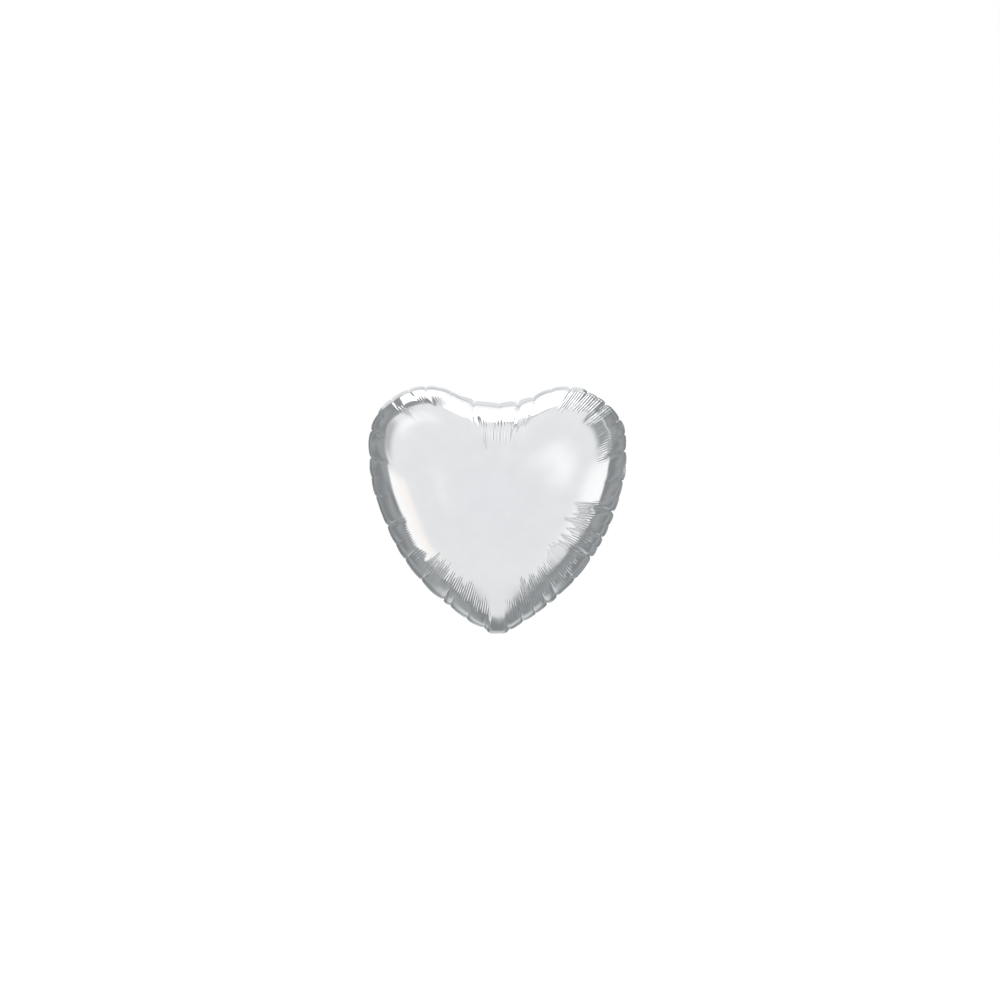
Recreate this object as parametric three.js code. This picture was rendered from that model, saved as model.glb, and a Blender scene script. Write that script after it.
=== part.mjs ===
// A heart-shaped foil balloon, inflated, with its filling tail folded up behind its tip.
// Millimetres, +Z up. The balloon's front faces -Y and its tip points down. The origin is the middle of
// the crease at the tip, where the tail folds.
import * as THREE from 'three';

// Driving dimensions: the inflated outline, measured to the outer edge of the welded rim.
const lobeRadius = 90;          // the two round lobes
const lobeSpread = 105.5;       // lobe centre to the middle plane
const lobeHeight = 281;         // lobe centre above the tip's crease
const cleftHeight = 344;        // lowest point of the dip between the lobes
const sideRadius = 320;         // the long side from a lobe down to the neck
const neckHalfWidth = 10;
const halfThickness = 92;       // rim plane to the flat middle of a panel
const middleHeight = 221;       // the panels' middle above the tip's crease
const rimWidth = 7;             // welded rim outside the inflated part
const capRadius = 14;           // flat middle of each panel
const tipSlimness = 0.45;       // share of the height that the pointed end loses at its very tip
const tipReach = 150;           // distance from the tip where that loss has died away

// Film is 0.04 mm thick on a real balloon. These solids are thicker, so that they have a body.
const film = 0.5;
const gap = 0.3;                // clearance between pieces that touch
const sealHalf = 0.3;           // half thickness of the weld between the two panels
const rimFace = sealHalf + gap; // inner face of a panel's rim

// Filling tail and the one-way valve inside the neck.
const tailLength = 46;
const tailStart = 3;            // bare film left for the crease
const tailFold = 122;           // degrees from hanging straight down to folded up behind
const tailSealWidth = 3.6;
const tailValveFilm = 0.4;
const tailMouth = 5;            // the valve's films end this far inside the tail's open end
const valveWidth = 18;
const valveLength = 96;
const valveHinge = 15;          // height of the line where the valve leaves the weld
const valveLean = 24;           // degrees that the valve leans back on the rear panel
const valveFilm = 0.4;
const valveFoot = 1;            // bare height above the hinge line
const coatingMargin = 2;        // uncoated film along each side of the valve
const coatingShare = 0.45;      // share of the valve's length that the coating covers

// How finely the curved panels are divided.
const rimPointsPerHalf = 33;
const rings = 10;
const relaxationSweeps = 1500;

const foil = new THREE.MeshStandardMaterial({ color: 0xd9dadc, roughness: 0.22, metalness: 1 });
const weld = new THREE.MeshStandardMaterial({ color: 0xc9cccd, roughness: 0.3, metalness: 1 });
const clearFilm = new THREE.MeshStandardMaterial({ color: 0xe6e8ea, roughness: 0.35, metalness: 0 });
const coating = new THREE.MeshStandardMaterial({ color: 0x9fb7c8, roughness: 0.6, metalness: 0 });

const rad = THREE.MathUtils.degToRad;
const lobe = new THREE.Vector2(lobeSpread, lobeHeight);

// Centre of the circle that runs through the neck's corner and touches the lobe from outside it.
function sideCentre() {
  const corner = new THREE.Vector2(neckHalfWidth, 0);
  const along = lobe.clone().sub(corner);
  const distance = along.length();
  along.normalize();
  const toLobe = sideRadius - lobeRadius;
  const x = (sideRadius ** 2 - toLobe ** 2 + distance ** 2) / (2 * distance);
  const across = Math.sqrt(sideRadius ** 2 - x ** 2);
  const left = new THREE.Vector2(-along.y, along.x);
  return corner.add(along.multiplyScalar(x)).add(left.multiplyScalar(across));
}

// The dip's circle lies above it, on the middle plane, and touches both lobes.
function cleftCircle() {
  const rise = cleftHeight - lobeHeight;
  const radius = (lobeSpread ** 2 + rise ** 2 - lobeRadius ** 2) / (2 * (lobeRadius - rise));
  return { radius, centre: new THREE.Vector2(0, cleftHeight + radius) };
}

// Right half of the outline, from the neck's corner to the middle of the dip, moved inwards by inset.
function rightHalf(inset) {
  const side = sideCentre();
  const cleft = cleftCircle();
  const neckCorner = new THREE.Vector2(neckHalfWidth, 0);
  const sideStart = neckCorner.sub(side).angle() - 2 * Math.PI;
  const sideEnd = lobe.clone().sub(side).angle() - 2 * Math.PI;
  const lobeEnd = cleft.centre.clone().sub(lobe).angle();
  const cleftStart = lobeEnd + Math.PI;
  const path = new THREE.Path();
  path.absarc(side.x, side.y, sideRadius - inset, sideStart, sideEnd, false);
  path.absarc(lobe.x, lobe.y, lobeRadius - inset, sideEnd, lobeEnd, false);
  path.absarc(0, cleft.centre.y, cleft.radius + inset, cleftStart, 1.5 * Math.PI, true);
  return path.getSpacedPoints(rimPointsPerHalf);
}

// The whole outline as one loop of points: the right half upwards, the left half down, the neck.
function outline(inset) {
  const right = rightHalf(inset);
  const left = right.slice(0, -1).reverse().map((p) => new THREE.Vector2(-p.x, p.y));
  return [...right, ...left, new THREE.Vector2(0, inset)];
}

// Height of an inflated film that can't stretch, over a disc, as a share of its middle height.
// fill is 1 in the middle and 0 at the rim. It is Paulsen's curve for a round foil balloon.
function foilProfile(fill) {
  const steps = 48;
  const sum = (from) => {
    const step = (Math.PI / 2 - from) / steps;
    let total = 0;
    for (let i = 0; i < steps; i += 1) {
      total += Math.sqrt(Math.sin(from + (i + 0.5) * step)) * step;
    }
    return total;
  };
  return sum(Math.asin(1 - fill)) / sum(0);
}

const cotangent = (at, b, c) => {
  const u = b.clone().sub(at);
  const v = c.clone().sub(at);
  return u.dot(v) / Math.abs(u.cross(v));
};

// How full each point of the plan is, from 0 on the rim to 1 at the fullest point: the surface that
// pressure gives a soap film over the same outline, found by relaxation on the plan's triangles.
function fullness(plan, triangles, isRim) {
  const links = plan.map(() => new Map());
  const load = plan.map(() => 0);
  for (const corners of triangles) {
    const [a, b, c] = corners.map((i) => plan[i]);
    const area = Math.abs(b.clone().sub(a).cross(c.clone().sub(a))) / 2;
    corners.forEach((i, n) => {
      const j = corners[(n + 1) % 3];
      const k = corners[(n + 2) % 3];
      const weight = cotangent(plan[i], plan[j], plan[k]) / 2;
      load[i] += area / 3;
      links[j].set(k, (links[j].get(k) ?? 0) + weight);
      links[k].set(j, (links[k].get(j) ?? 0) + weight);
    });
  }
  const height = plan.map(() => 0);
  const free = plan.map((_, i) => i).filter((i) => !isRim(i));
  for (let sweep = 0; sweep < relaxationSweeps; sweep += 1) {
    free.forEach((i) => {
      let sum = load[i];
      let weights = 0;
      for (const [j, weight] of links[i]) {
        sum += weight * height[j];
        weights += weight;
      }
      height[i] = sum / weights;
    });
  }
  const fullest = Math.max(...height);
  return height.map((h) => h / fullest);
}

// Triangles between a centre point, number 0, and rings of count points around it.
function discTriangles(count, ringCount) {
  const triangles = [];
  for (let i = 0; i < count; i += 1) {
    const next = (i + 1) % count;
    triangles.push([0, 1 + i, 1 + next]);
    for (let ring = 1; ring < ringCount; ring += 1) {
      const inner = 1 + (ring - 1) * count;
      const outer = inner + count;
      triangles.push([inner + i, outer + i, outer + next]);
      triangles.push([inner + i, outer + next, inner + next]);
    }
  }
  return triangles;
}

// Plan points of a panel: its middle, then rings that grow from the cap's circle to the rim's outline.
function panelPlan(rim) {
  const points = [middle];
  for (let ring = 0; ring < rings; ring += 1) {
    const growth = Math.sin(((ring / (rings - 1)) * Math.PI) / 2);
    for (const p of rim) {
      const spoke = p.clone().sub(middle);
      const onCap = spoke.clone().setLength(capRadius);
      points.push(middle.clone().add(onCap.lerp(spoke, growth)));
    }
  }
  return points;
}

const middle = new THREE.Vector2(0, middleHeight);
const outer = outline(0);
const domeRim = outline(rimWidth);
const liningRim = outline(rimWidth + film);
const count = outer.length;
const domePlan = panelPlan(domeRim);
const liningPlan = panelPlan(liningRim);
const onRim = (i) => i > (rings - 1) * count;
const onCap = (i) => i <= count;
const fill = fullness(domePlan, discTriangles(count, rings), onRim);
const tipTaper = (p) => 1 - tipSlimness * (1 - THREE.MathUtils.smoothstep(p.length(), 0, tipReach));
const profile = domePlan.map((p, i) => (onCap(i) ? 1 : foilProfile(fill[i]) * tipTaper(p)));

// A closed skin over a column of rings, from a point at its start to a point at its end. The rings turn
// anticlockwise seen from outside the start; flipped says that they turn clockwise.
function ringSkin(start, ringList, end, flipped) {
  const n = ringList[0].length;
  const positions = [start, ...ringList.flat(), end].flat();
  const last = positions.length / 3 - 1;
  const index = [];
  const triangle = (a, b, c) => (flipped ? index.push(b, a, c) : index.push(a, b, c));
  for (let i = 0; i < n; i += 1) {
    const next = (i + 1) % n;
    triangle(0, 1 + i, 1 + next);
    for (let ring = 1; ring < ringList.length; ring += 1) {
      const a = 1 + (ring - 1) * n;
      const b = a + n;
      triangle(a + i, b + i, b + next);
      triangle(a + i, b + next, a + next);
    }
    triangle(last - n + i, last, last - n + next);
  }
  const geometry = new THREE.BufferGeometry();
  geometry.setAttribute('position', new THREE.Float32BufferAttribute(positions, 3));
  geometry.setIndex(index);
  geometry.computeVertexNormals();
  return geometry;
}

// One foil panel: an open dome of film with a flat rim. facing is -1 for the front and 1 for the back.
function panel(name, facing) {
  const outside = rimFace + film;
  const place = (p, y) => [p.x, facing * y, p.y];
  const domeRings = (plan, rimY, topY) => Array.from({ length: rings }, (_, ring) => {
    const first = 1 + ring * count;
    return plan.slice(first, first + count)
      .map((p, i) => place(p, rimY + (topY - rimY) * profile[first + i]));
  });
  const edge = [outside, rimFace].map((y) => outer.map((p) => place(p, y)));
  const dome = domeRings(domePlan, outside, halfThickness);
  const lining = domeRings(liningPlan, rimFace, halfThickness - film).reverse();
  const top = place(middle, halfThickness);
  const under = place(middle, halfThickness - film);
  return named(name, ringSkin(top, [...dome, ...edge, ...lining], under, facing > 0), foil);
}

function named(name, geometry, material) {
  const mesh = new THREE.Mesh(geometry, material);
  mesh.name = name;
  return mesh;
}

// A flat plate: an upright shape in x and z, from depth from to depth to along y.
function plate(name, shape, from, to, material) {
  const geometry = new THREE.ExtrudeGeometry(shape, { depth: to - from, bevelEnabled: false });
  geometry.rotateX(Math.PI / 2);
  geometry.translate(0, to, 0);
  return named(name, geometry, material);
}

function rectangle(left, right, bottom, top) {
  return new THREE.Shape([
    new THREE.Vector2(left, bottom),
    new THREE.Vector2(right, bottom),
    new THREE.Vector2(right, top),
    new THREE.Vector2(left, top),
  ]);
}

// The fused band that joins the two panels' rims. It is open across the neck.
function perimeterSeal() {
  const inner = domeRim.slice(0, -1).reverse();
  const shape = new THREE.Shape([...outer.slice(0, -1), ...inner]);
  return plate('perimeter_seal', shape, -sealHalf, sealHalf, weld);
}

// The stretch of the two valve films that is welded between the panels in the neck.
function neckValveFilms() {
  const half = neckHalfWidth - tailSealWidth;
  const shape = rectangle(-half, half, gap, rimWidth);
  return plate('neck_valve_films', shape, -sealHalf, sealHalf, clearFilm);
}

// The valve is a flattened film tube that stands inside the balloon and leans on the back panel.
function valve() {
  const group = new THREE.Group();
  const half = valveWidth / 2;
  const inner = gap / 2 + valveFilm / 2;
  const strip = rectangle(-half, half, valveFoot, valveLength);
  const coatedHalf = half - coatingMargin;
  const coated = rectangle(-coatedHalf, coatedHalf, valveFoot, valveLength * coatingShare);
  group.add(plate('valve_front_film', strip, -inner - gap - valveFilm, -inner - gap, clearFilm));
  group.add(plate('valve_release_strip', coated, -valveFilm / 2, valveFilm / 2, coating));
  group.add(plate('valve_back_film', strip, inner + gap, inner + gap + valveFilm, clearFilm));
  group.position.z = valveHinge;
  group.rotation.x = -rad(valveLean);
  return group;
}

// The tail is drawn hanging straight down from the crease, and its group folds it up behind.
function tail() {
  const group = new THREE.Group();
  const valveEdge = gap / 2 + tailValveFilm;
  const ply = valveEdge + gap;
  const sealEdge = neckHalfWidth - tailSealWidth;
  const bottom = -tailStart - tailLength;
  const whole = rectangle(-neckHalfWidth, neckHalfWidth, bottom, -tailStart);
  const channel = rectangle(-sealEdge + gap, sealEdge - gap, bottom + tailMouth, -tailStart);
  const leftSeal = rectangle(-neckHalfWidth, -sealEdge, bottom, -tailStart);
  const rightSeal = rectangle(sealEdge, neckHalfWidth, bottom, -tailStart);
  group.add(plate('tail_front_ply', whole, -ply - film, -ply, foil));
  group.add(plate('tail_back_ply', whole, ply, ply + film, foil));
  group.add(plate('tail_seal_left', leftSeal, -valveEdge, valveEdge, weld));
  group.add(plate('tail_seal_right', rightSeal, -valveEdge, valveEdge, weld));
  group.add(plate('tail_valve_front_film', channel, -valveEdge, -gap / 2, clearFilm));
  group.add(plate('tail_valve_back_film', channel, gap / 2, valveEdge, clearFilm));
  group.rotation.x = rad(tailFold);
  return group;
}

const balloon = new THREE.Group();
balloon.add(panel('front_panel', -1));
balloon.add(panel('back_panel', 1));
balloon.add(perimeterSeal());
balloon.add(neckValveFilms());
balloon.add(valve());
balloon.add(tail());

export default balloon;
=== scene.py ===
"""Looks of a heart-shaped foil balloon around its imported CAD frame. Metres, +Z up, the front faces -Y."""
import math

import bpy
import numpy as np
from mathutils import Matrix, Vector


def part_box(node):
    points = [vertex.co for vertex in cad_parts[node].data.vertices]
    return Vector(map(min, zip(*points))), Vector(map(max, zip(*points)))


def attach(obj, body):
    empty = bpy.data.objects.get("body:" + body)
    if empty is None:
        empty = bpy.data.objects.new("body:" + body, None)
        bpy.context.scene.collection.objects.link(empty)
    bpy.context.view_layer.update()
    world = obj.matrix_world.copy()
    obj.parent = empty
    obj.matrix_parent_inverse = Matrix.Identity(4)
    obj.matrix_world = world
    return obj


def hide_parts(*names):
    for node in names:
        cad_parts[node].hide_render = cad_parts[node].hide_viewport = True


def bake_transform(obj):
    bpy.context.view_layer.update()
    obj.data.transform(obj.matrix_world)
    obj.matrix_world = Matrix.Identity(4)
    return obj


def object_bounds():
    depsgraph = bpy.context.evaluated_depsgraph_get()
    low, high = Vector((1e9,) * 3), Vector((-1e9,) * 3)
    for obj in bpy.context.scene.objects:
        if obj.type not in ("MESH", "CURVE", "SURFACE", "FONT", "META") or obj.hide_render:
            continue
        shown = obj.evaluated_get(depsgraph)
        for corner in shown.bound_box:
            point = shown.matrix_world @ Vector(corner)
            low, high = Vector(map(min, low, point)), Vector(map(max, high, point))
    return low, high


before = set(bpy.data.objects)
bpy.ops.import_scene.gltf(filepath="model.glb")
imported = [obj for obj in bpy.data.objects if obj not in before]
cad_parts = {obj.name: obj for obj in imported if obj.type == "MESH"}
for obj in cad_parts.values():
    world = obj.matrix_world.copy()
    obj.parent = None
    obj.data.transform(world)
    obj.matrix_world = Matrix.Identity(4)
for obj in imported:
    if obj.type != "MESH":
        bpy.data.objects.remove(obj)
cad_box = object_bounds()

MM = 0.001
rim_low, rim_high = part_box("perimeter_seal")
_, dome_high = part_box("back_panel")

# The outline's arcs, in metres, as the frame has them: round lobes, long sides, a dip and a flat neck.
LOBE_RADIUS = 0.09
LOBE_CENTRE = np.array([rim_high.x - LOBE_RADIUS, rim_high.z - LOBE_RADIUS])
CLEFT_HEIGHT = 0.344
SIDE_RADIUS = 0.32
NECK_HALF_WIDTH = 0.01
HALF_THICKNESS = dome_high.y
MIDDLE = np.array([0.0, 0.205])  # (x, z) where the panels are fullest
TIP_SLIMNESS = 0.45      # share of the depth that the pointed end loses at its very tip
TIP_REACH = 0.15         # distance from the tip where that loss has died away
CORNER_SOFTNESS = 3 * MM  # how widely the outline's corners are rounded
PLAN_SOFTNESS = 16 * MM  # how widely they are rounded further in
NECK_REACH = 8 * MM      # stretch beside the neck over which the rim's folds set in

# The welded rim: where the dome starts inside the outline, the rim's width and its pieces' half gaps.
SEAM_INSET = 5 * MM
NECK_INSET = 0.8 * MM
NECK_FLARE = 2.5         # how much further forward the front film starts at the neck, in shares
SCALLOP_SWELL = 1.0      # millimetres the scallops stand out past the rim's line
RIM_WIDTH = 6.2 * MM
FILM_FROM_MIDDLE = 0.4 * MM
WELD_HALF = 0.5 * MM
WELD_SPAN = (0.12, 0.97)  # from and to, as shares of the rim's width
NECK_OPENING = 0.7       # share of the neck's half width without a weld
PLEAT_WIDTH = 2.2        # millimetres along the rim
PLEAT_DEPTH = 1.5 * MM
PLEAT_NARROWING = 0.2    # share of the rim's width that a deep pleat takes
LOBE_NARROWING = 0.35    # share that is missing on top of the lobes
NECK_PLEAT_DEPTH = 0.12 * MM
NECK_PLEAT_PITCH = 3.7 * MM
RIM_CURL = 1.3 * MM      # how far the rim's edge curls forward over the lobes and the dip
TOP = (0.38, 0.665)      # from and to, as shares of the way round, where the rim stands nearly flat
TOP_EDGE = 0.03
DIP_HALF, DIP_EDGE = 0.03, 0.02  # shares from the middle of the dip to where the lobes begin
SHOULDER = (0.32, 0.395)
SHOULDER_EDGES = (0.03, 0.02)
SIDE_TILT, TOP_TILT = 1.0, 0.2  # radians that the rim is bent back
SHOULDER_TILT = 0.35     # radians more on the right lobe's shoulder

# How finely the panels are divided.
RIM_SAMPLES = 2000
ARC_SAMPLES = 800
BAND_RINGS = 36
RIM_RINGS = (0.25, 0.5, 0.75, 1.0)
INNER_RINGS = 11
INNER_SHARE = 4          # one inner sample for each 4 in the band, as make_panel's joint has it
BAND_START = 0.28        # share of the way from the middle to the rim, counted in rings
COARSE_SPOKES = 144
COARSE_RINGS = 18

# Pinch creases: place as a share of the way round the rim from the neck, anticlockwise seen from the
# front, depth and reach in millimetres, and how far the crease leans sideways per millimetre inwards.
CREASES = [
    (0.016, 3, 14, 0.0), (0.036, 4, 20, 0.2), (0.054, 2, 16, 0.0), (0.073, 6, 26, -0.2),
    (0.088, 4, 34, 0.1), (0.118, 3, 22, 0.0), (0.151, 6, 46, -0.3), (0.165, 2, 16, 0.0),
    (0.179, 5, 26, 0.2), (0.196, 2, 18, 0.0), (0.213, 9, 44, 0.3), (0.234, 2, 16, 0.0),
    (0.253, 4, 20, 0.0), (0.272, 2, 12, 0.0), (0.290, 6, 34, 0.1), (0.311, 4, 16, 0.0),
    (0.331, 4, 20, -0.2), (0.357, 8, 44, -0.1), (0.371, 3, 22, 0.3), (0.385, 4, 24, 0.0),
    (0.407, 6, 26, 0.0), (0.432, 2, 14, 0.0), (0.456, 4, 26, 0.2), (0.4755, 9, 40, -0.15),
    (0.498, 2, 12, 0.0), (0.528, 6, 46, 0.45), (0.558, 2, 16, 0.0), (0.591, 4, 30, 0.1),
    (0.612, 3, 18, 0.0), (0.637, 2.5, 18, 0.2), (0.662, 2, 14, 0.0), (0.684, 5, 20, 0.0),
    (0.718, 5, 28, -0.1), (0.742, 2, 12, 0.0), (0.766, 3, 18, 0.1), (0.805, 5, 34, -0.2),
    (0.830, 2, 20, 0.0), (0.852, 3, 30, -0.2), (0.884, 3, 20, 0.0), (0.920, 7, 26, 0.1),
    (0.931, 4, 18, 0.0), (0.957, 3, 20, 0.0), (0.981, 4, 16, -0.2),
]

# Gathers: from and to as shares of the rim, depth in millimetres, and the millimetres inwards between
# which they run.
FRONT_GATHERS = [
    (0.012, 0.050, 0.6, 12, 30), (0.045, 0.105, 1.3, 14, 46), (0.105, 0.145, 1.6, 16, 54),
    (0.145, 0.185, 1.1, 16, 50), (0.182, 0.222, 1.0, 27, 56),
    (0.287, 0.338, 0.35, 16, 34), (0.345, 0.405, 1.1, 2, 32), (0.450, 0.474, 0.4, 20, 38),
    (0.478, 0.522, 0.6, 24, 60), (0.575, 0.610, 0.4, 2, 16), (0.618, 0.640, 0.5, 20, 42),
    (0.800, 0.850, 0.15, 18, 34), (0.848, 0.866, 0.9, 16, 32), (0.872, 0.905, 1.1, 16, 40),
    (0.908, 0.955, 0.9, 20, 40), (0.960, 0.988, 0.6, 18, 34),
]
BACK_GATHERS = [
    (0.010, 0.090, 0.7, 12, 36), (0.095, 0.160, 0.6, 14, 44), (0.190, 0.260, 0.7, 8, 40),
    (0.330, 0.400, 0.7, 6, 34), (0.455, 0.530, 0.7, 18, 58), (0.590, 0.650, 0.7, 6, 34),
    (0.700, 0.745, 0.4, 14, 30), (0.780, 0.850, 0.8, 12, 46), (0.870, 0.940, 0.8, 12, 42),
    (0.940, 0.994, 0.6, 14, 34),
]
GATHER_PITCH = 4.4       # millimetres along the rim
GATHER_EDGE = 0.012      # share of the rim over which a group of gathers fades at its sides
GATHER_STRAY = 0.22      # turns by which a fold strays from its even place
GATHER_STARTS = 6        # millimetres by which the folds' outer ends differ, and their fade there
GATHER_RISE = 7
GATHER_ENDS = 9          # the same at their inner ends
GATHER_FALL = 9
HANGING = 0.03           # share of the rim on each side of the dip where the folds hang side by side

# How deep the pinches and scallops go for a crease's depth of 1, and how far the scallops reach in.
PINCH_DEPTH = 0.30
SCALLOP_DEPTH = 0.36
SCALLOP_REACH = 1.3
SCALLOP_ROUNDNESS = 0.65
CREASE_WIDTH = 0.75      # millimetres to each side at the rim
CREASE_WIDER_DEEP = 0.09  # more for each millimetre of depth
CREASE_WIDER_IN = 0.05   # more for each millimetre inwards
SWELL_REACH = 15         # millimetres inwards where the scallops' outward swell has died away
BROAD_REACH = 30         # millimetres inwards where the slow swells of the middle are full

# Wrinkles that run in from the rim: how many cells round it, depth and reach in millimetres.
WRINKLE_SEED = 40
WRINKLES = [(60, 0.35, 46), (110, 0.25, 30), (190, 0.16, 20)]
WRINKLE_SPREAD = 0.35    # share by which their reach varies, in so many cells
WRINKLE_CELLS = 50


def smooth(x):
    """Smoothstep of x, from 0 at 0 to 1 at 1."""
    x = np.clip(x, 0, 1)
    return x * x * (3 - 2 * x)


def spline(values, at):
    """A smooth closed curve through evenly spaced values, as a cubic B-spline; at is a share from 0 to 1."""
    n = len(values)
    u = (at % 1.0) * n
    cell = np.floor(u).astype(int)
    f = u - cell
    weights = [(1 - f) ** 3, 3 * f**3 - 6 * f**2 + 4, -3 * f**3 + 3 * f**2 + 3 * f + 1, f**3]
    return sum(w / 6 * values[(cell + k - 1) % n] for k, w in enumerate(weights))


def noise(seed, cells, at):
    """Smooth closed noise between about -1 and 1, with so many cells round the rim."""
    values = np.random.default_rng(seed).uniform(-1.4, 1.4, cells)
    return spline(values, at)


# The outline


def arc(centre, radius, start, end):
    angles = np.linspace(start, end, ARC_SAMPLES)
    return centre + radius * np.c_[np.cos(angles), np.sin(angles)]


def bearing(origin, point):
    return math.atan2(point[1] - origin[1], point[0] - origin[0])


def outline():
    """Points (x, z) all round the outer edge of the rim, from the middle of the neck, evenly spaced."""
    corner = np.array([NECK_HALF_WIDTH, 0.0])
    along = LOBE_CENTRE - corner
    distance = np.linalg.norm(along)
    along = along / distance
    reach = (SIDE_RADIUS**2 - (SIDE_RADIUS - LOBE_RADIUS) ** 2 + distance**2) / (2 * distance)
    across = np.array([-along[1], along[0]])
    side = corner + reach * along + math.sqrt(SIDE_RADIUS**2 - reach**2) * across
    rise = CLEFT_HEIGHT - LOBE_CENTRE[1]
    cleft_radius = (LOBE_CENTRE[0] ** 2 + rise**2 - LOBE_RADIUS**2) / (2 * (LOBE_RADIUS - rise))
    cleft = np.array([0.0, CLEFT_HEIGHT + cleft_radius])
    lobe_start = bearing(side, LOBE_CENTRE)
    lobe_end = bearing(LOBE_CENTRE, cleft)
    right = np.vstack([
        [[0.0, 0.0]],
        arc(side, SIDE_RADIUS, bearing(side, corner), lobe_start),
        arc(LOBE_CENTRE, LOBE_RADIUS, lobe_start, lobe_end),
        arc(cleft, cleft_radius, lobe_end + math.pi, 1.5 * math.pi),
    ])
    loop = np.vstack([right, right[::-1][1:] * [-1, 1]])
    way = np.r_[0, np.cumsum(np.linalg.norm(np.diff(loop, axis=0), axis=1))]
    at = np.linspace(0, way[-1], RIM_SAMPLES, endpoint=False)
    points = np.c_[np.interp(at, way, loop[:, 0]), np.interp(at, way, loop[:, 1])]
    return blurred(points, CORNER_SOFTNESS / way[-1]), way[-1]


def blurred(points, width):
    """Closed points smoothed by a bell curve, whose width is a share of the way round."""
    waves = np.fft.rfftfreq(len(points), 1 / len(points))
    bell = np.exp(-2 * (math.pi * width * waves) ** 2)
    return np.fft.irfft(np.fft.rfft(points, axis=0) * bell[:, None], len(points), axis=0)


def outward(points):
    """Unit normals of closed points that run anticlockwise."""
    step = np.roll(points, -1, axis=0) - np.roll(points, 1, axis=0)
    step = step / np.linalg.norm(step, axis=1)[:, None]
    return np.c_[step[:, 1], -step[:, 0]]


RIM, RIM_LENGTH = outline()
RIM_NORMAL = outward(RIM)
RIM_SHARE = np.arange(RIM_SAMPLES) / RIM_SAMPLES


def neck_calm(share):
    """0 at the flat neck and 1 away from it."""
    from_neck = np.abs((share + 0.5) % 1.0 - 0.5) * RIM_LENGTH
    return smooth((from_neck - NECK_HALF_WIDTH) / NECK_REACH)


INSET = NECK_INSET + (SEAM_INSET - NECK_INSET) * neck_calm(RIM_SHARE)
SEAM = RIM - INSET[:, None] * RIM_NORMAL
SOFT_SEAM = blurred(SEAM, PLAN_SOFTNESS / RIM_LENGTH)


# The inflated shape


def growth(share):
    """How far out a ring lies: the rings crowd towards the rim, where the film turns down."""
    return np.sin(share * math.pi / 2)


def plan_points(ring_share, samples):
    """Rings in plan, (x, z): rounded near the middle, with the outline's corners only near the rim."""
    share = ring_share[:, None, None]
    edge = SOFT_SEAM[samples] + share**3 * (SEAM[samples] - SOFT_SEAM[samples])
    return MIDDLE + growth(share) * (edge - MIDDLE)


def coarse_fullness():
    """Square root of the height that pressure gives a soap film over the outline: rings by spokes."""
    spokes, rings = COARSE_SPOKES, COARSE_RINGS
    samples = (np.arange(spokes) * RIM_SAMPLES) // spokes
    plan = plan_points(np.arange(1, rings + 1) / rings, samples).reshape(-1, 2)
    plan = np.vstack([MIDDLE[None, :], plan])
    this = np.arange(spokes)
    after = (this + 1) % spokes
    triangles = [np.c_[np.zeros(spokes, int), 1 + this, 1 + after]]
    for ring in range(1, rings):
        inner = 1 + (ring - 1) * spokes
        outer = inner + spokes
        triangles.append(np.c_[inner + this, outer + this, outer + after])
        triangles.append(np.c_[inner + this, outer + after, inner + after])
    triangles = np.vstack(triangles)
    free = 1 + (rings - 1) * spokes
    stiffness = np.zeros((len(plan), len(plan)))
    load = np.zeros(len(plan))
    for n in range(3):
        i, j, k = triangles[:, n], triangles[:, (n + 1) % 3], triangles[:, (n + 2) % 3]
        a, b = plan[j] - plan[i], plan[k] - plan[i]
        twice_area = np.abs(a[:, 0] * b[:, 1] - a[:, 1] * b[:, 0])
        weight = (a * b).sum(1) / twice_area / 2
        np.add.at(load, i, twice_area / 6)
        np.add.at(stiffness, (j, k), -weight)
        np.add.at(stiffness, (k, j), -weight)
        np.add.at(stiffness, (j, j), weight)
        np.add.at(stiffness, (k, k), weight)
    height = np.linalg.solve(stiffness[:free, :free], load[:free])
    root = np.sqrt(np.maximum(height, 0) / height.max())
    table = np.zeros((rings + 1, spokes))
    table[0] = root[0]
    table[1:rings] = root[1:].reshape(rings - 1, spokes)
    return table


FULLNESS = coarse_fullness()


def fullness(ring_share, rim_share):
    """The coarse table as a smooth surface: even through the middle, odd through the rim."""
    rings = COARSE_RINGS
    opposite = np.roll(FULLNESS, COARSE_SPOKES // 2, axis=1)
    table = np.vstack([opposite[2:0:-1], FULLNESS, -FULLNESS[-2:-4:-1]])
    u = ring_share * rings
    cell = np.minimum(np.floor(u).astype(int), rings - 1)
    f = (u - cell)[:, None]
    weights = [(1 - f) ** 3, 3 * f**3 - 6 * f**2 + 4, -3 * f**3 + 3 * f**2 + 3 * f + 1, f**3]
    along = np.array([spline(row, rim_share) for row in table])
    return sum(w / 6 * along[cell + k + 1] for k, w in enumerate(weights))


def foil_profile(root):
    """Height of an inflated film that can't stretch, by Paulsen's curve for a round foil balloon."""
    steps = np.linspace(0, 1, 1501)
    angles = np.arcsin(1 - steps**2)
    inside = np.sqrt(np.sin(angles))
    pieces = (inside[1:] + inside[:-1]) / 2 * (angles[:-1] - angles[1:])
    heights = np.r_[0, np.cumsum(pieces)]
    return np.interp(root, steps, heights / heights[-1])


def base_surface(ring_share, samples):
    """Points of the smooth dome, rings by samples by (x, depth, z), and their millimetres inwards."""
    plan = plan_points(ring_share, samples)
    root = np.clip(fullness(ring_share, RIM_SHARE[samples]), 0, 1)
    tip = np.linalg.norm(plan, axis=2)
    taper = 1 - TIP_SLIMNESS * (1 - smooth(tip / TIP_REACH))
    depth = FILM_FROM_MIDDLE + (HALF_THICKNESS - FILM_FROM_MIDDLE) * foil_profile(root) * taper
    inwards = ((SEAM[samples] - plan) * RIM_NORMAL[samples]).sum(2) / MM
    return np.stack([plan[..., 0], depth, plan[..., 1]], axis=2), inwards


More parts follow.
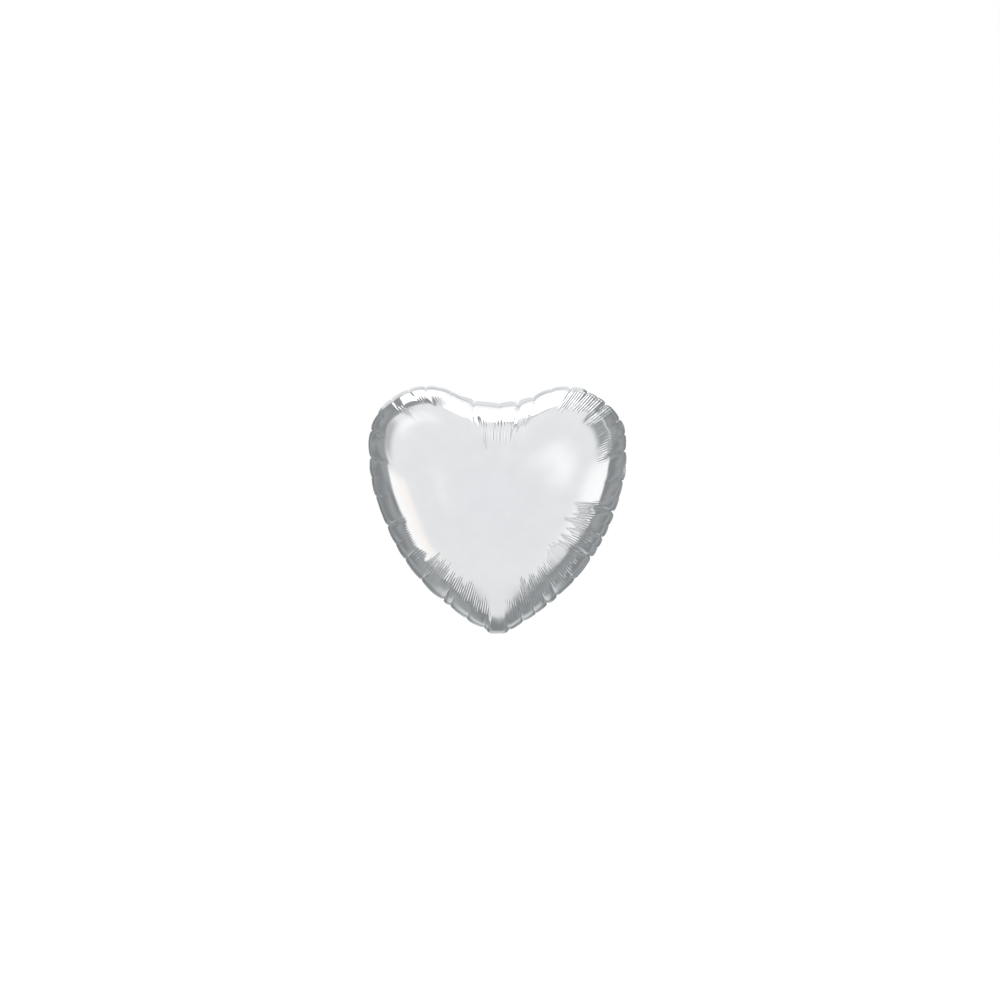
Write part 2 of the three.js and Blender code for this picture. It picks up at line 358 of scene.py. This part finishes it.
def surface_normals(points):
    """Outward normals of a closed band of rings that run outwards."""
    round_way = np.roll(points, -1, axis=1) - np.roll(points, 1, axis=1)
    out_way = np.gradient(points, axis=0)
    normal = np.cross(round_way, out_way)
    normal /= np.linalg.norm(normal, axis=2)[..., None]
    return normal * np.sign(normal[0, 0, 1])


# Creases and gathers


def crease_relief(rim_share, inwards):
    """Depth in millimetres of the pinch creases and of the scallops between them."""
    places = np.array([c[0] for c in CREASES])
    depths = np.array([c[1] for c in CREASES], float)
    reaches = np.array([c[2] for c in CREASES], float)
    after = np.searchsorted(places, rim_share) % len(places)
    before = after - 1
    width = (places[after] - places[before]) % 1.0
    t = ((rim_share - places[before]) % 1.0) / width
    depth = depths[before] * (1 - t) + depths[after] * t
    reach = SCALLOP_REACH * (reaches[before] * (1 - t) + reaches[after] * t)
    bow = (4 * t * (1 - t)) ** SCALLOP_ROUNDNESS
    relief = SCALLOP_DEPTH * depth * (1 - bow) * (1 - smooth(inwards / reach))
    for place, deep, far, lean in CREASES:
        off = ((rim_share - place + 0.5) % 1.0 - 0.5) * RIM_LENGTH / MM
        off = np.abs(off - lean * inwards)
        wide = CREASE_WIDTH + CREASE_WIDER_DEEP * deep + CREASE_WIDER_IN * inwards
        relief = relief + PINCH_DEPTH * deep * np.exp(-off / wide) * (1 - smooth(inwards / far))
    return relief


def wrinkle_relief(rim_share, inwards, seed):
    """Depth in millimetres of irregular wrinkles that run in from the rim."""
    relief = 0
    for n, (cells, depth, far) in enumerate(WRINKLES):
        end = far * (1 + WRINKLE_SPREAD * noise(seed + 10 + n, WRINKLE_CELLS, rim_share))
        relief = relief + depth * noise(seed + n, cells, rim_share) * (1 - smooth(inwards / end))
    return relief


def gather_place(rim_share, x):
    """The share a gather is counted by: below the dip the folds hang side by side instead of fanning in."""
    hanging = smooth(1.5 - np.abs(rim_share - 0.5) / HANGING)
    return rim_share * (1 - hanging) + (0.5 - x / RIM_LENGTH) * hanging


def gather_relief(rim_share, inwards, groups, seed):
    """Depth in millimetres of the fine gathers."""
    folds = round(RIM_LENGTH / MM / GATHER_PITCH)
    phase = 2 * math.pi * (folds * rim_share + GATHER_STRAY * noise(seed, folds // 3, rim_share))
    fold = ((1 + np.cos(phase)) / 2) ** 1.5 - 0.4
    uneven = 0.9 + 0.5 * noise(seed + 1, folds, rim_share)
    start_shift = GATHER_STARTS * noise(seed + 2, folds, rim_share)
    end_shift = GATHER_ENDS * noise(seed + 3, folds, rim_share)
    relief = 0
    for start, end, depth, near, far in groups:
        window = smooth((rim_share - start) / GATHER_EDGE + 0.5)
        window = window * smooth((end - rim_share) / GATHER_EDGE + 0.5)
        rise = smooth((inwards - near - start_shift) / GATHER_RISE + 0.5)
        fall = 1 - smooth((inwards - far - end_shift) / GATHER_FALL + 0.5)
        relief = np.maximum(relief, depth * window * rise * fall)
    return relief * np.clip(uneven, 0.1, 1.4) * fold


def broad_relief(points, facing):
    """Depth in millimetres of the slow swells of a panel, with crests about 0.2 m apart."""
    x, z = points[..., 0], points[..., 2]
    across = np.sin(31 * x + 9 * z + 0.7 * facing)
    upwards = np.sin(24 * z - 12 * x + 2.1 * facing)
    return 0.25 * across + 0.2 * upwards


def panel_points(ring_share, samples, facing, groups, seed):
    """A panel's rings by samples by (x, y, z), with every crease in."""
    points, inwards = base_surface(ring_share, samples)
    normal = surface_normals(points)
    on_rim = ring_share > 0.9999
    flat = RIM_NORMAL[samples]
    normal[on_rim] = np.stack([flat[:, 0], 0 * flat[:, 0], flat[:, 1]], axis=1)
    share = RIM_SHARE[samples][None, :]
    relief = crease_relief(share, inwards) + wrinkle_relief(share, inwards, WRINKLE_SEED)
    relief = (relief - SCALLOP_SWELL * (1 - smooth(inwards / SWELL_REACH))) * neck_calm(share)
    relief = relief + gather_relief(gather_place(share, points[..., 0]), inwards, groups, seed)
    relief = relief + broad_relief(points, facing) * smooth(inwards / BROAD_REACH)
    points = points - MM * relief[..., None] * normal
    flare = NECK_FLARE * (1 - neck_calm(share)) if facing < 0 else 0
    least = FILM_FROM_MIDDLE * (1 + flare)
    points[..., 1] = np.maximum(points[..., 1], least)
    return points * [1, facing, 1]


def along_top(share):
    """1 where the rim stands nearly flat, over the lobes and in the dip between them."""
    start, end = TOP
    return smooth((share - start) / TOP_EDGE) * smooth((end - share) / TOP_EDGE)


def over_lobes(share):
    """1 on top of the lobes, where the welded rim is narrow, and 0 in the dip and on the sides."""
    return along_top(share) * smooth((np.abs(share - 0.5) - DIP_HALF) / DIP_EDGE)


def rim_tilt(share):
    """How far the welded rim is bent back out of its plane, in radians."""
    on_top = along_top(share)
    rise, fall = SHOULDER_EDGES
    on_shoulder = smooth((share - SHOULDER[0]) / rise) * smooth((SHOULDER[1] - share) / fall)
    bent = SIDE_TILT + (TOP_TILT - SIDE_TILT) * on_top + SHOULDER_TILT * on_shoulder
    bent = bent + (0.20 - 0.12 * on_top) * noise(71, 34, share) + 0.10 * noise(72, 90, share)
    return bent * neck_calm(share)


def rim_points(samples, out, side):
    """The welded rim at a share of its width, side metres in front of or behind its middle."""
    share = RIM_SHARE[samples]
    zero = np.zeros((1, len(samples)))
    relief = (crease_relief(share[None], zero) + wrinkle_relief(share[None], zero, WRINKLE_SEED))[0]
    relief = (relief - SCALLOP_SWELL) * neck_calm(share)
    seam = SEAM[samples] - MM * relief[:, None] * RIM_NORMAL[samples]
    pleat = np.zeros(len(share))
    for place, deep, _, _ in CREASES:
        off = np.abs((share - place + 0.5) % 1.0 - 0.5) * RIM_LENGTH / MM
        pleat = np.maximum(pleat, min(deep / 6, 1) * np.exp(-off / PLEAT_WIDTH))
    pleat = pleat * neck_calm(share)
    tilt = rim_tilt(share)
    width = RIM_WIDTH * (1 - PLEAT_NARROWING * pleat) * (1 - LOBE_NARROWING * over_lobes(share))
    at_neck = 1 - neck_calm(share)
    width = width * (1 - at_neck) + NECK_INSET * at_neck
    across = out * width * np.cos(tilt)
    neck_wave = np.cos(2 * math.pi * RIM[samples, 0] / NECK_PLEAT_PITCH) * at_neck
    curl = RIM_CURL * smooth((out - 0.7) / 0.3) * along_top(share)
    back = width * np.sin(tilt) + PLEAT_DEPTH * pleat + NECK_PLEAT_DEPTH * neck_wave
    back = out * back - curl
    plan = seam + across[:, None] * RIM_NORMAL[samples]
    if side < 0:
        side = side * (1 + NECK_FLARE * (1 - out) * at_neck)
    return np.stack([plan[:, 0], back + side, plan[:, 1]], axis=1)


# Meshes


def make_object(name, points, faces):
    """A smooth-shaded mesh from points and an array of quads, triangles or both."""
    mesh = bpy.data.meshes.new(name)
    corners = np.concatenate([f.ravel() for f in faces])
    sizes = np.concatenate([np.full(len(f), f.shape[1]) for f in faces])
    mesh.vertices.add(len(points))
    mesh.vertices.foreach_set("co", np.asarray(points, np.float32).ravel())
    mesh.loops.add(len(corners))
    mesh.loops.foreach_set("vertex_index", corners.astype(np.int32))
    mesh.polygons.add(len(sizes))
    mesh.polygons.foreach_set("loop_start", (np.cumsum(sizes) - sizes).astype(np.int32))
    mesh.polygons.foreach_set("loop_total", sizes.astype(np.int32))
    mesh.update(calc_edges=True)
    mesh.validate()
    mesh.shade_smooth()
    obj = bpy.data.objects.new(name, mesh)
    bpy.context.scene.collection.objects.link(obj)
    return obj


def band_quads(rings, count, first=0):
    """Quads of a closed band of rings, each of count points."""
    this = np.arange(count)
    after = (this + 1) % count
    faces = []
    for ring in range(rings - 1):
        a, b = first + ring * count, first + (ring + 1) * count
        faces.append(np.c_[a + this, b + this, b + after, a + after])
    return np.vstack(faces)


def make_panel(name, facing, groups, seed):
    """One foil panel: a fine band near the rim, a coarser middle, and its half of the welded rim."""
    fine = np.arange(RIM_SAMPLES)
    coarse = fine[::INNER_SHARE]
    band = panel_points(np.linspace(BAND_START, 1, BAND_RINGS), fine, facing, groups, seed)
    inner_shares = np.linspace(0, BAND_START, INNER_RINGS + 1)[1:-1]
    inner = panel_points(inner_shares, coarse, facing, groups, seed)
    pole = inner[0].mean(0)
    pole[1] = facing * np.abs(inner[0][:, 1]).max()
    rim = [rim_points(fine, out, facing * FILM_FROM_MIDDLE) for out in RIM_RINGS]
    points = np.vstack([pole[None], inner.reshape(-1, 3), band.reshape(-1, 3), *rim])
    n, m = len(fine), len(coarse)
    this = np.arange(m)
    after = (this + 1) % m
    fan = np.c_[np.zeros(m, int), 1 + this, 1 + after]
    inner_quads = band_quads(INNER_RINGS - 1, m, 1)
    a = 1 + (INNER_RINGS - 2) * m
    b = a + m
    o = b + this * INNER_SHARE
    last = b + (this * INNER_SHARE + INNER_SHARE) % n
    joint = np.vstack([
        np.c_[a + this, o, o + 1], np.c_[a + this, o + 1, o + 2], np.c_[a + this, o + 2, a + after],
        np.c_[a + after, o + 2, o + 3], np.c_[a + after, o + 3, last],
    ])
    quads = np.vstack([inner_quads, band_quads(BAND_RINGS + len(RIM_RINGS), n, b)])
    faces = [np.vstack([fan, joint]), quads]
    if facing > 0:
        faces = [f[:, ::-1] for f in faces]
    return make_object(name, points, faces)


def make_weld():
    """The fused band between the two rims: a thin closed ribbon with sharp corners, open across the neck."""
    skip = int(NECK_OPENING * NECK_HALF_WIDTH / RIM_LENGTH * RIM_SAMPLES)
    samples = np.arange(skip, RIM_SAMPLES - skip + 1) % RIM_SAMPLES
    start, end = WELD_SPAN
    corners = [(start, -WELD_HALF), (end, -WELD_HALF), (end, WELD_HALF), (start, WELD_HALF)]
    points = np.vstack([rim_points(samples, out, side) for out, side in corners])
    n = len(samples)
    this = np.arange(n - 1)
    sides = []
    for k in range(4):
        a, b = k * n, ((k + 1) % 4) * n
        sides.append(np.c_[a + this, a + this + 1, b + this + 1, b + this])
    caps = np.array([[0, n, 2 * n, 3 * n], [4 * n - 1, 3 * n - 1, 2 * n - 1, n - 1]])
    weld = make_object("perimeter_weld", points, [np.vstack(sides + [caps])])
    ends = np.empty(2 * len(weld.data.edges), np.int32)
    weld.data.edges.foreach_get("vertices", ends)
    corner_of = ends.reshape(-1, 2) // n
    weld.data.edges.foreach_set("use_edge_sharp", corner_of[:, 0] == corner_of[:, 1])
    return weld


# The tail


TAIL_FOLD = math.radians(122)  # how far the tail is turned up at rest from hanging straight down
TAIL_DIRECTION = Vector((0, math.sin(TAIL_FOLD), -math.cos(TAIL_FOLD)))
TAIL_OUT = Vector((0, math.cos(TAIL_FOLD), math.sin(TAIL_FOLD)))
TAIL_LENGTH = 49 * MM
TAIL_WELD = 3.6 * MM
TAIL_ROWS = 90
TAIL_COLUMNS = 44
TAIL_WELD_EDGE = 2 * MM
TAIL_CURL = 1.2 * MM     # how far the free end curls
TAIL_BOW = 0.8 * MM      # how far the long edges lie behind the middle
TAIL_CALM = 12 * MM      # stretch from the crease over which the curl and the bow set in
TAIL_FILLING = 9 * MM    # stretch over which the films part
TAIL_MOUTH = 10 * MM     # length of the mouth at the free end, where they part further
TAIL_FULL = 0.55 * MM
MOUTH_FULL = 0.9 * MM
TAIL_RIB, TAIL_RIBS = 0.05 * MM, 4.2  # depth, and radians per millimetre along the tail
TAIL_RIPPLE, TAIL_RIPPLES = 0.12 * MM, 0.9
CREASE_BEND = 1.5 * MM   # stretch over which they turn to face their new way
PLY_FROM_MIDDLE = 0.35 * MM


def tail_point(x, along, off):
    """A point of the tail: across it, along it from the crease, and off its middle sheet."""
    curl = TAIL_CURL * np.sin(along / TAIL_LENGTH * 2.4) - TAIL_BOW * (x / NECK_HALF_WIDTH) ** 2
    curl = curl * smooth(along / TAIL_CALM)
    folded = smooth(along / CREASE_BEND)[..., None]
    out = (1 - folded) * np.array([0, 1, 0]) + folded * np.array(TAIL_OUT)
    place = along[..., None] * np.array(TAIL_DIRECTION) + (off + curl)[..., None] * out
    place[..., 0] += x
    return place


def make_tail_ply(name, side):
    """One film of the tail, ribbed where it is welded and slightly full over the valve's films."""
    along, across = np.meshgrid(
        np.linspace(0, TAIL_LENGTH, TAIL_ROWS), np.linspace(-1, 1, TAIL_COLUMNS), indexing="ij"
    )
    x = across * NECK_HALF_WIDTH
    channel = smooth((NECK_HALF_WIDTH - TAIL_WELD - np.abs(x)) / TAIL_WELD_EDGE)
    open_end = smooth((along - TAIL_LENGTH + TAIL_MOUTH) / TAIL_MOUTH)
    full = channel * (TAIL_FULL + MOUTH_FULL * open_end) * smooth(along / TAIL_FILLING)
    rib = TAIL_RIB * np.sin(along / MM * TAIL_RIBS) * (1 - channel)
    ripple = TAIL_RIPPLE * np.sin(along / MM * TAIL_RIPPLES + 3 * across + side) * channel
    points = tail_point(x, along, side * (PLY_FROM_MIDDLE + full + rib + ripple))
    rows, columns = TAIL_ROWS, TAIL_COLUMNS
    at = np.arange(rows * columns).reshape(rows, columns)
    quads = np.c_[at[:-1, :-1].ravel(), at[1:, :-1].ravel(), at[1:, 1:].ravel(), at[:-1, 1:].ravel()]
    return make_object(name, points.reshape(-1, 3), [quads if side < 0 else quads[:, ::-1]])


# Materials


class Nodes:
    """Short calls for a material's or world's node tree."""

    def __init__(self, tree):
        self.tree = tree
        tree.nodes.clear()

    def add(self, kind, **settings):
        node = self.tree.nodes.new(kind)
        for key, value in settings.items():
            setattr(node, key, value)
        return node

    def link(self, source, target):
        self.tree.links.new(source, target)

    def math(self, operation, a, b=0.0):
        node = self.add("ShaderNodeMath", operation=operation)
        for socket, value in zip(node.inputs, (a, b)):
            if isinstance(value, (int, float)):
                socket.default_value = value
            else:
                self.link(value, socket)
        return node.outputs[0]

    def step(self, value, low, high, start=0.0, end=1.0):
        """A smooth change from start at low to end at high."""
        node = self.add("ShaderNodeMapRange", interpolation_type="SMOOTHSTEP")
        self.link(value, node.inputs["Value"])
        for name, number in (("From Min", low), ("From Max", high), ("To Min", start), ("To Max", end)):
            node.inputs[name].default_value = number
        return node.outputs["Result"]

    def curve(self, value, stops, scale):
        """A curve of value, through stops of a share from 0 to 1 and a number no larger than scale."""
        ramp = self.add("ShaderNodeValToRGB")
        ramp.color_ramp.interpolation = "EASE"
        elements = ramp.color_ramp.elements
        for place, _ in stops[2:]:
            elements.new(place)
        for element, (place, number) in zip(elements, stops):
            element.position = place
            element.color = (number / scale, number / scale, number / scale, 1)
        self.link(value, ramp.inputs[0])
        return self.math("MULTIPLY", ramp.outputs[0], float(scale))

    def noise(self, place, scale, detail=2.0):
        """Soft noise around 0.5 at a place."""
        node = self.add("ShaderNodeTexNoise")
        node.inputs["Scale"].default_value = scale
        node.inputs["Detail"].default_value = detail
        self.link(place, node.inputs["Vector"])
        return node.outputs["Fac"]

    def bump(self, height, strength, distance, under=None):
        """A normal that follows a height, distance metres deep, on top of another normal if there is one."""
        node = self.add("ShaderNodeBump")
        node.inputs["Strength"].default_value = strength
        node.inputs["Distance"].default_value = distance
        self.link(height, node.inputs["Height"])
        if under is not None:
            self.link(under, node.inputs["Normal"])
        return node.outputs["Normal"]

    def mix(self, factor, a, b):
        node = self.add("ShaderNodeMix", data_type="RGBA")
        self.link(factor, node.inputs["Factor"])
        for socket, value in ((node.inputs["A"], a), (node.inputs["B"], b)):
            if isinstance(value, tuple):
                socket.default_value = value
            else:
                self.link(value, socket)
        return node.outputs["Result"]


def new_material(name):
    material = bpy.data.materials.new(name)
    material.use_nodes = True
    nodes = Nodes(material.node_tree)
    output = nodes.add("ShaderNodeOutputMaterial")
    shader = nodes.add("ShaderNodeBsdfPrincipled")
    nodes.link(shader.outputs[0], output.inputs[0])
    return material, nodes, shader


def foil_material(name, colour, rough, ribs=0.0):
    """Metallised film: a mirror with a soft haze, slight changes of tint, fine cockles and perhaps ribs."""
    material, nodes, shader = new_material(name)
    shader.inputs["Metallic"].default_value = 1.0
    place = nodes.add("ShaderNodeTexCoord").outputs["Object"]
    haze = nodes.noise(place, 38, 5)
    nodes.link(nodes.step(haze, 0.3, 0.75, rough * 0.75, rough * 1.35), shader.inputs["Roughness"])
    darker = tuple(c * 0.97 for c in colour[:3]) + (1.0,)
    nodes.link(nodes.mix(nodes.step(haze, 0.35, 0.7), darker, colour), shader.inputs["Base Color"])
    normal = nodes.bump(nodes.noise(place, 420, 3), 0.25, 0.04 * MM)
    if ribs:
        wave = nodes.add("ShaderNodeTexWave", wave_type="BANDS", bands_direction="DIAGONAL")
        wave.inputs["Scale"].default_value = ribs
        wave.inputs["Distortion"].default_value = 0.6
        nodes.link(place, wave.inputs["Vector"])
        normal = nodes.bump(wave.outputs["Fac"], 0.5, 0.1 * MM, normal)
    nodes.link(normal, shader.inputs["Normal"])
    return material


def film_material():
    """Clear polyethylene of the valve: pale, slightly hazy, faintly wavy."""
    material, nodes, shader = new_material("valve_film")
    shader.inputs["Alpha"].default_value = 0.55
    shader.inputs["Roughness"].default_value = 0.28
    shader.inputs["IOR"].default_value = 1.5
    place = nodes.add("ShaderNodeTexCoord").outputs["Object"]
    cloud = nodes.noise(place, 120)
    colour = nodes.mix(cloud, (0.78, 0.81, 0.84, 1), (0.90, 0.92, 0.94, 1))
    nodes.link(colour, shader.inputs["Base Color"])
    nodes.link(nodes.bump(cloud, 0.3, 0.1 * MM), shader.inputs["Normal"])
    return material


def coating_material():
    """Matt blue-grey ink with a slightly patchy print."""
    material, nodes, shader = new_material("release_coating")
    shader.inputs["Roughness"].default_value = 0.7
    place = nodes.add("ShaderNodeTexCoord").outputs["Object"]
    colour = nodes.mix(nodes.noise(place, 900), (0.48, 0.60, 0.70, 1), (0.62, 0.74, 0.82, 1))
    nodes.link(colour, shader.inputs["Base Color"])
    return material


def clothe(obj, material):
    obj.data.materials.clear()
    obj.data.materials.append(material)


# The studio


# Where the dark half of the studio begins, in degrees off the front, by the bearing as a share of a turn
# from the right-hand side, anticlockwise seen from the front.
HORIZON = [
    (0.0, 89), (0.08, 91), (0.16, 93), (0.235, 92), (0.275, 87.5), (0.315, 86), (0.36, 86), (0.42, 92),
    (0.45, 89), (0.48, 86), (0.56, 87), (0.58, 91), (0.597, 97), (0.61, 94), (0.66, 89), (0.705, 75.5),
    (0.735, 72.2), (0.75, 71.2), (0.765, 72.2), (0.80, 74), (0.84, 81), (0.87, 79), (0.90, 80), (0.93, 79),
    (0.955, 88), (1.0, 89),
]
HORIZON_SOFTNESS = 1.6

WALL_LOW, WALL_HIGH = (0.83, 0.84, 0.86, 1), (0.85, 0.86, 0.87, 1)
DARK_LOW, DARK_HIGH = (0.25, 0.263, 0.27, 1), (0.35, 0.365, 0.372, 1)
WHITE = (1.06, 1.06, 1.06, 1)
PEACH = (1.12, 1.05, 1.0, 1)
PALE_GREY = (0.46, 0.48, 0.485, 1)
SCREEN_GREY = (0.31, 0.335, 0.34, 1)
FLOOR_GREY = (0.62, 0.65, 0.66, 1)

# Soft patches on the studio's walls, in degrees: from and to, as angles off the front or past the horizon,
# their softness, from and to as bearings, their softness, and then the patch's colour and strength.
HORIZON_PATCHES = [
    (-30, 20, 6, 183, 224, 3, PEACH, 0.7),
    (-15, 20, 7, 183, 224, 3, WHITE, 1.0),
]
WALL_PATCHES = [
    (50, 120, 12, 328, 362, 10, WHITE, 1.0),
    (20, 34, 11, 8, 60, 20, WHITE, 0.95),
    (58, 70, 8, 104, 142, 14, WHITE, 0.95),
    (16, 24, 5, 158, 192, 14, WHITE, 0.3),
    (74, 100, 6, 144, 172, 8, PALE_GREY, 0.9),
    (63, 88, 5, 12, 50, 8, SCREEN_GREY, 0.95),
]
FLOOR_PATCHES = [(112, 150, 8, 236, 304, 12, FLOOR_GREY, 1.0)]

# Level light panels above the balloon: middle as (x, y), size, turn in radians and brightness.
LIGHT_HEIGHT = rim_high.z + 0.30
LIGHT_PANELS = {
    "overhead_back": ((0.09, 0.17), (0.445, 0.31), -0.25, 1.06),
    "overhead_far": ((0.05, 0.61), (0.7, 0.5), 0.0, 0.68),
    "overhead_front": ((0.05, 0.0325), (0.19, 0.175), 0.0, 1.06),
    "overhead_left": ((-0.235, 0.265), (0.23, 0.47), 0.0, 1.06),
}

VIEW_WIDTH = 1.5         # metres across the view at the balloon
LENS, SENSOR = 90, 36
CAMERA_RIGHT = 0.0038    # from the middle of the balloon
CAMERA_RISE = 0.0147


def make_light_panel(name, middle, size, turn, brightness):
    """A level panel of light that faces down, seen in the foil but not by the camera."""
    data = bpy.data.lights.new(name, "AREA")
    data.shape = "RECTANGLE"
    data.size, data.size_y = size
    data.energy = brightness * math.pi * size[0] * size[1]
    light = bpy.data.objects.new(name, data)
    light.location = (*middle, LIGHT_HEIGHT)
    light.rotation_euler = (0, 0, turn)
    light.visible_camera = False
    bpy.context.scene.collection.objects.link(light)


def make_camera():
    """Level and straight in front, a little to the right of and above the middle of the balloon."""
    data = bpy.data.cameras.new("camera")
    data.lens, data.sensor_width = LENS, SENSOR
    camera = bpy.data.objects.new("camera", data)
    low, high = cad_box
    middle = (low + high) / 2
    camera.location = (CAMERA_RIGHT, -VIEW_WIDTH * LENS / SENSOR, middle.z + CAMERA_RISE)
    camera.rotation_euler = (math.pi / 2, 0, 0)
    bpy.context.scene.collection.objects.link(camera)
    bpy.context.scene.camera = camera


def towards(nodes, x, z, bearing_degrees):
    """Cosine of the angle between a direction's bearing and another bearing."""
    angle = math.radians(bearing_degrees)
    along = nodes.math("ADD", nodes.math("MULTIPLY", x, math.cos(angle)),
                       nodes.math("MULTIPLY", z, math.sin(angle)))
    squares = nodes.math("ADD", nodes.math("MULTIPLY", x, x), nodes.math("MULTIPLY", z, z))
    length = nodes.math("SQRT", nodes.math("ADD", squares, 1e-6))
    return nodes.math("DIVIDE", along, length)


def add_patches(nodes, colour, value, x, z, patches):
    """The colour with soft patches over it, each where value and the bearing lie in the patch's ranges."""
    for near, far, soft, start, end, soft_side, tone, strength in patches:
        inside = nodes.step(value, near - soft, near + soft)
        inside = nodes.math("MULTIPLY", inside, nodes.step(value, far - soft, far + soft, 1, 0))
        half = (end - start) / 2
        low = math.cos(math.radians(half + soft_side))
        high = math.cos(math.radians(max(half - soft_side, 0)))
        beside = nodes.step(towards(nodes, x, z, (start + end) / 2), low, high)
        mask = nodes.math("MULTIPLY", inside, beside)
        colour = nodes.mix(nodes.math("MULTIPLY", mask, strength), colour, tone)
    return colour


def make_world():
    """Soft studio walls, pale in front and grey behind, with white and warm patches. The eye sees white."""
    world = bpy.data.worlds.new("studio")
    bpy.context.scene.world = world
    world.use_nodes = True
    nodes = Nodes(world.node_tree)
    direction = nodes.add("ShaderNodeTexCoord").outputs["Generated"]
    axes = nodes.add("ShaderNodeSeparateXYZ")
    nodes.link(direction, axes.inputs[0])
    x, y, z = axes.outputs
    off_front = nodes.math("ARCCOSINE", nodes.math("MULTIPLY", y, -1.0))
    off_front = nodes.math("MULTIPLY", off_front, 180 / math.pi)
    bearing_share = nodes.math("FRACT", nodes.math("DIVIDE", nodes.math("ARCTAN2", z, x), 2 * math.pi))
    past_horizon = nodes.math("SUBTRACT", off_front, nodes.curve(bearing_share, HORIZON, 180))
    colour = nodes.mix(nodes.step(off_front, 0, 80), WALL_LOW, WALL_HIGH)
    colour = add_patches(nodes, colour, past_horizon, x, z, HORIZON_PATCHES)
    colour = add_patches(nodes, colour, off_front, x, z, WALL_PATCHES)
    cloud = nodes.noise(direction, 2.4, 1)
    far_room = nodes.mix(nodes.step(cloud, 0.36, 0.64), DARK_LOW, DARK_HIGH)
    beyond = nodes.step(past_horizon, -HORIZON_SOFTNESS, HORIZON_SOFTNESS)
    colour = nodes.mix(beyond, colour, far_room)
    colour = add_patches(nodes, colour, off_front, x, z, FLOOR_PATCHES)
    background = nodes.add("ShaderNodeBackground")
    nodes.link(colour, background.inputs["Color"])
    ground = nodes.add("ShaderNodeBackground")
    ground.inputs["Color"].default_value = (1, 1, 1, 1)
    ray = nodes.add("ShaderNodeLightPath")
    choice = nodes.add("ShaderNodeMixShader")
    nodes.link(ray.outputs["Is Camera Ray"], choice.inputs[0])
    nodes.link(background.outputs[0], choice.inputs[1])
    nodes.link(ground.outputs[0], choice.inputs[2])
    output = nodes.add("ShaderNodeOutputWorld")
    nodes.link(choice.outputs[0], output.inputs[0])


def make_floor():
    """A wide pale floor well below the balloon, left out of its reflections."""
    size, height = 30.0, -0.62
    mesh = bpy.data.meshes.new("floor")
    corners = [(-size, -size, height), (size, -size, height), (size, size, height), (-size, size, height)]
    mesh.from_pydata(corners, [], [(0, 1, 2, 3)])
    floor = bpy.data.objects.new("floor", mesh)
    bpy.context.scene.collection.objects.link(floor)
    material, _, shader = new_material("pale_floor")
    shader.inputs["Base Color"].default_value = (0.97, 0.97, 0.97, 1)
    shader.inputs["Roughness"].default_value = 0.9
    shader.inputs["Emission Color"].default_value = (1, 1, 1, 1)
    shader.inputs["Emission Strength"].default_value = 0.55
    clothe(floor, material)
    floor.visible_glossy = False


# Putting it together


foil = foil_material("silver_foil", (0.93, 0.935, 0.94, 1), 0.11)
weld_foil = foil_material("welded_foil", (0.91, 0.92, 0.925, 1), 0.2, ribs=300)
film = film_material()
coating = coating_material()

for name, facing, groups, seed in (
    ("front_foil_panel", -1, FRONT_GATHERS, 3),
    ("back_foil_panel", 1, BACK_GATHERS, 23),
):
    panel = make_panel(name, facing, groups, seed)
    clothe(panel, foil)
    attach(panel, "envelope")
    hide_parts("front_panel" if facing < 0 else "back_panel")

weld = make_weld()
clothe(weld, weld_foil)
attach(weld, "envelope")
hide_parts("perimeter_seal")

for name, side, slot, stands_for in (
    ("tail_front_film", -1, "front_foil", ("tail_front_ply",)),
    ("tail_back_film", 1, "back_foil", ("tail_back_ply", "tail_seal_left", "tail_seal_right")),
):
    ply = make_tail_ply(name, side)
    clothe(ply, weld_foil)
    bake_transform(ply)
    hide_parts(*stands_for)

for name in ("neck_valve_films", "valve_front_film", "valve_back_film",
             "tail_valve_front_film", "tail_valve_back_film"):
    clothe(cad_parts[name], film)
clothe(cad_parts["valve_release_strip"], coating)

make_camera()
make_world()
for light_name, settings in LIGHT_PANELS.items():
    make_light_panel(light_name, *settings)
make_floor()
bpy.context.scene.view_settings.view_transform = "Standard"
